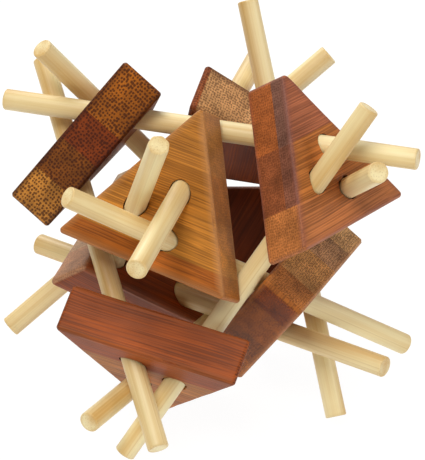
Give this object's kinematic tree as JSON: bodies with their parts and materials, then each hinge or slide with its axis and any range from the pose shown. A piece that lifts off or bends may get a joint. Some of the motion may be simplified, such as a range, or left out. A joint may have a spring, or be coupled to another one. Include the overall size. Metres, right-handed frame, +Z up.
{
  "type": "wooden burr puzzle",
  "caption": "Take-apart burr puzzle: triangular wooden blocks set at the corners of a cube and locked together by pale round sticks that cross through them and slide out.",
  "frame": {"origin": "middle of the bounding box in plan, on the level surface the puzzle stands on", "axes": "+Z up; -Y is the front, the side of the lower left block that faces the viewer; +X to the right; the cube that the blocks sit on has its faces along the axes, leaning 1.3 degrees because the sticks it stands on aren't pushed in evenly"},
  "size_m": [0.0868, 0.089, 0.087],
  "materials": {
    "dark_blocks": "satin",
    "pale_sticks": "satin"
  },
  "bodies": {
    "blocks": {"block_back_left_bottom": "dark_blocks", "block_back_left_top": "dark_blocks", "block_back_right_bottom": "dark_blocks", "block_back_right_top": "dark_blocks", "block_front_left_bottom": "dark_blocks", "block_front_left_top": "dark_blocks", "block_front_right_bottom": "dark_blocks", "block_front_right_top": "dark_blocks"},
    "stick_top_outer": {"stick_top_outer": "pale_sticks"},
    "stick_top_inner": {"stick_top_inner": "pale_sticks"},
    "stick_left_outer": {"stick_left_outer": "pale_sticks"},
    "stick_left_inner": {"stick_left_inner": "pale_sticks"},
    "stick_front_outer": {"stick_front_outer": "pale_sticks"},
    "stick_front_inner": {"stick_front_inner": "pale_sticks"},
    "stick_back_outer": {"stick_back_outer": "pale_sticks"},
    "stick_back_inner": {"stick_back_inner": "pale_sticks"},
    "stick_right_outer": {"stick_right_outer": "pale_sticks"},
    "stick_right_inner": {"stick_right_inner": "pale_sticks"},
    "stick_bottom_outer": {"stick_bottom_outer": "pale_sticks"},
    "stick_bottom_inner": {"stick_bottom_inner": "pale_sticks"}
  },
  "joints": [
    {"name": "top_outer_slide", "type": "slide", "parent": "blocks", "child": "stick_top_outer", "axis": [-0.7947, 0.6067, -0.0213], "range_m": [-0.0815, 0.0835]},
    {"name": "top_inner_slide", "type": "slide", "parent": "blocks", "child": "stick_top_inner", "axis": [-0.5786, -0.8156, 0.0106], "range_m": [-0.08, 0.069]},
    {"name": "left_outer_slide", "type": "slide", "parent": "blocks", "child": "stick_left_outer", "axis": [-0.0065, 0.8072, 0.5902], "range_m": [-0.0818, 0.0832]},
    {"name": "left_inner_slide", "type": "slide", "parent": "blocks", "child": "stick_left_inner", "axis": [-0.009, -0.5615, 0.8275], "range_m": [-0.0769, 0.0721]},
    {"name": "front_outer_slide", "type": "slide", "parent": "blocks", "child": "stick_front_outer", "axis": [0.5982, 0.0166, 0.8012], "range_m": [-0.0825, 0.0825]},
    {"name": "front_inner_slide", "type": "slide", "parent": "blocks", "child": "stick_front_inner", "axis": [-0.8219, 0.0119, 0.5695], "range_m": [-0.0737, 0.0753]},
    {"name": "back_outer_slide", "type": "slide", "parent": "blocks", "child": "stick_back_outer", "axis": [-0.6155, 0.0164, 0.7879], "range_m": [-0.0831, 0.0819]},
    {"name": "back_inner_slide", "type": "slide", "parent": "blocks", "child": "stick_back_inner", "axis": [0.8093, 0.0121, 0.5873], "range_m": [-0.0719, 0.0771]},
    {"name": "right_outer_slide", "type": "slide", "parent": "blocks", "child": "stick_right_outer", "axis": [-0.0067, -0.782, 0.6232], "range_m": [-0.0852, 0.0798]},
    {"name": "right_inner_slide", "type": "slide", "parent": "blocks", "child": "stick_right_inner", "axis": [-0.0088, 0.5953, 0.8034], "range_m": [-0.075, 0.074]},
    {"name": "bottom_outer_slide", "type": "slide", "parent": "blocks", "child": "stick_bottom_outer", "axis": [-0.7948, -0.6069, 0.0039], "range_m": [-0.0828, 0.0822]},
    {"name": "bottom_inner_slide", "type": "slide", "parent": "blocks", "child": "stick_bottom_inner", "axis": [-0.5784, 0.8154, -0.0233], "range_m": [-0.0747, 0.0743]}
  ]
}
